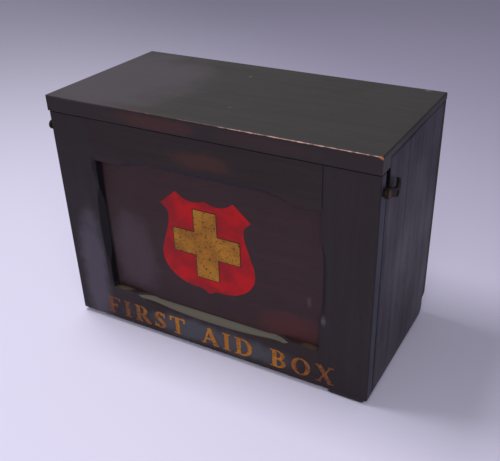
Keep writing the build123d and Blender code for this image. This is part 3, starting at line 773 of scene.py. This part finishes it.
LETTERS = {
    "F": (0.72, [stem(0.2), serif(0.2, 0), serif(0.12, 1, 0.11), hairline((0.2, HEAD), (0.7, HEAD)),
                 tick(0.68, 0.76, 1.0), hairline((0.2, 0.52), (0.52, 0.52)), tick(0.52, 0.4, 0.64)], []),
    "I": (0.42, [stem(0.21), serif(0.21, 0), serif(0.21, 1)], []),
    "R": (0.86, [stem(0.2), serif(0.2, 0), serif(0.12, 1, 0.11), hairline((0.2, HEAD), (0.42, HEAD)),
                 hairline((0.2, 0.47), (0.42, 0.47)), (bar, (0.44, 0.5), (0.76, 0.0), STEM),
                 serif(0.78, 0, 0.1)],
          [(bowl, (0.4, 0.718), (0.3, 0.282), STEM, HAIR, -90, 90)]),
    "S": (0.68, [(bar, (0.14, 0.7), (0.56, 0.3), STEM), tick(0.58, 0.7, 0.96), tick(0.07, 0.04, 0.32)],
          [(bowl, (0.34, 0.735), (0.27, 0.265), STEM, HAIR, 20, 215),
           (bowl, (0.34, 0.265), (0.3, 0.265), STEM, HAIR, -160, 35)]),
    "T": (0.8, [stem(0.4), serif(0.4, 0), hairline((0.04, HEAD), (0.76, HEAD)), tick(0.05, 0.74, 1.0),
                tick(0.75, 0.74, 1.0)], []),
    "A": (0.88, [hairline((0.14, 0.0), (0.44, 1.0)), (bar, (0.41, 0.98), (0.76, 0.0), STEM),
                 hairline((0.25, 0.33), (0.62, 0.33)), serif(0.13, 0, 0.13), serif(0.75, 0, 0.15)], []),
    "D": (0.88, [stem(0.2), serif(0.12, 0, 0.11), serif(0.12, 1, 0.11),
                 hairline((0.2, HEAD), (0.42, HEAD)), hairline((0.2, FOOT), (0.42, FOOT))],
          [(bowl, (0.4, 0.5), (0.44, 0.5), STEM, HAIR, -90, 90)]),
    "B": (0.76, [stem(0.2), serif(0.12, 0, 0.11), serif(0.12, 1, 0.11),
                 hairline((0.2, HEAD), (0.4, HEAD)), hairline((0.2, FOOT), (0.4, FOOT)),
                 hairline((0.2, 0.52), (0.42, 0.52))],
          [(bowl, (0.38, 0.745), (0.28, 0.255), STEM, HAIR, -90, 90),
           (bowl, (0.38, 0.2725), (0.33, 0.2725), STEM, HAIR, -90, 90)]),
    "O": (0.88, [], [(bowl, (0.44, 0.5), (0.42, 0.5), STEM, HAIR, 0, 360, 40)]),
    "X": (0.84, [(bar, (0.16, 1.0), (0.68, 0.0), STEM), hairline((0.68, 1.0), (0.14, 0.0)),
                 serif(0.16, 1, 0.14), serif(0.68, 1, 0.12), serif(0.15, 0, 0.12),
                 serif(0.68, 0, 0.14)], []),
}


def moved(stroke, dx):
    """A stroke shifted along the line."""
    draw, *values = stroke
    if draw is bar:
        start, stop, width = values
        return (bar, (start[0] + dx, start[1]), (stop[0] + dx, stop[1]), width)
    centre, *rest = values
    return (bowl, (centre[0] + dx, centre[1]), *rest)


# %% Set the line of capitals
LETTER_HEIGHT = 21.5
LETTER_UNIT = 25.0
LINE_START, LINE_STOP, LINE_FOOT = -139.0, 143.5, 11.0
WORDS = ("FIRST", "AID", "BOX")
WORD_GAP = 0.62
widths = sum(LETTERS[c][0] for word in WORDS for c in word) + WORD_GAP * (len(WORDS) - 1)
letters = sum(len(word) for word in WORDS)
space = ((LINE_STOP - LINE_START) / LETTER_UNIT - widths) / (letters - 1)
bars, bowls, pen = [], [], 0.0
for word in WORDS:
    for letter in word:
        width, straight, round_strokes = LETTERS[letter]
        bars += [moved(stroke, pen) for stroke in straight]
        bowls += [moved(stroke, pen) for stroke in round_strokes]
        pen += width + space
    pen += WORD_GAP
painted("lettering", bars, bowls, (LETTER_UNIT * MM, LETTER_HEIGHT * MM), COAT,
        at(LINE_START, front_y, LINE_FOOT), letter_paint)
print("letter space", round(space * LETTER_UNIT, 1), "mm")

# %% [markdown]
# ## Nodes that keep their CAD shape
# The inner boards, the hinges with their screws and the nails are right as they are and only need a
# finish.

# %% Finish the remaining nodes
WOODEN = {"shelf": inside_wood, "divider": inside_wood, "back_rail": inside_wood, "bottom_board": foot_wood}
for name, node in nodes.items():
    if not node.hide_render:
        node.data.materials.clear()
        node.data.materials.append(WOODEN.get(name, iron))
        print("kept", name)

# %% [markdown]
# ## Floor and light
# The case stands on a pale floor, painted darker towards the back right as painted fall-off of the light. A
# soft lamp high over the left throws the short shadows that lie in front of the case and to its right. A
# wide lower one lights the front, and an even sky fills the rest.

# %% Stage
FLOOR_HALF = 4.0
PAINTED_FALLOFF_TOWARDS = (0.6, 0.8, 0.0)
SKY_COLOUR, SKY_STRENGTH = (0.93, 0.95, 1.0, 1.0), 0.27

bm = bmesh.new()
bmesh.ops.create_grid(bm, x_segments=1, y_segments=1, size=FLOOR_HALF)
floor_mesh = bpy.data.meshes.new("floor")
bm.to_mesh(floor_mesh)
bm.free()
floor = bpy.data.objects.new("floor", floor_mesh)
bpy.context.scene.collection.objects.link(floor)
floor_finish, floor_tree, floor_shader = new_finish("pale floor")
# Painted fall-off: the floor's colour is painted darker towards the back right, where the lamps' light
# falls off.
far = vector_calc(floor_tree, "DOT_PRODUCT", object_place(floor_tree), PAINTED_FALLOFF_TOWARDS)[1]
mottle = noise(floor_tree, object_place(floor_tree), 700.0, 2.0, 0.5)
painted_falloff = stretch(floor_tree, calc(floor_tree, "ADD", far, times(floor_tree, mottle, 0.06)), 0.75, -0.2)
floor_colour = mixed(floor_tree, painted_falloff, srgb(192, 184, 212), srgb(226, 221, 245))
floor_tree.links.new(floor_colour, floor_shader.inputs["Base Color"])
floor_shader.inputs["Roughness"].default_value = 0.9
floor_shader.inputs["Specular IOR Level"].default_value = 0.1
floor_mesh.materials.append(floor_finish)

world = bpy.data.worlds.new("sky")
world.use_nodes = True
sky = world.node_tree.nodes["Background"].inputs
sky["Color"].default_value = SKY_COLOUR
sky["Strength"].default_value = SKY_STRENGTH
bpy.context.scene.world = world


def lamp(title, place, target, size, power):
    """A square soft lamp that faces a target."""
    data = bpy.data.lights.new(title, "AREA")
    data.shape = "SQUARE"
    data.size = size
    data.energy = power
    made = bpy.data.objects.new(title, data)
    made.location = place
    made.rotation_euler = (Vector(place) - Vector(target)).to_track_quat("Z", "Y").to_euler()
    bpy.context.scene.collection.objects.link(made)
    return made


lamp("window", place=(-0.4, -0.06, 1.25), target=(0.0, 0.0, 0.0), size=0.45, power=9.6)
lamp("room", place=(0.5, -1.0, 0.8), target=(0.0, -0.1, 0.1), size=0.9, power=6.5)
bpy.context.scene.view_settings.view_transform = "Standard"
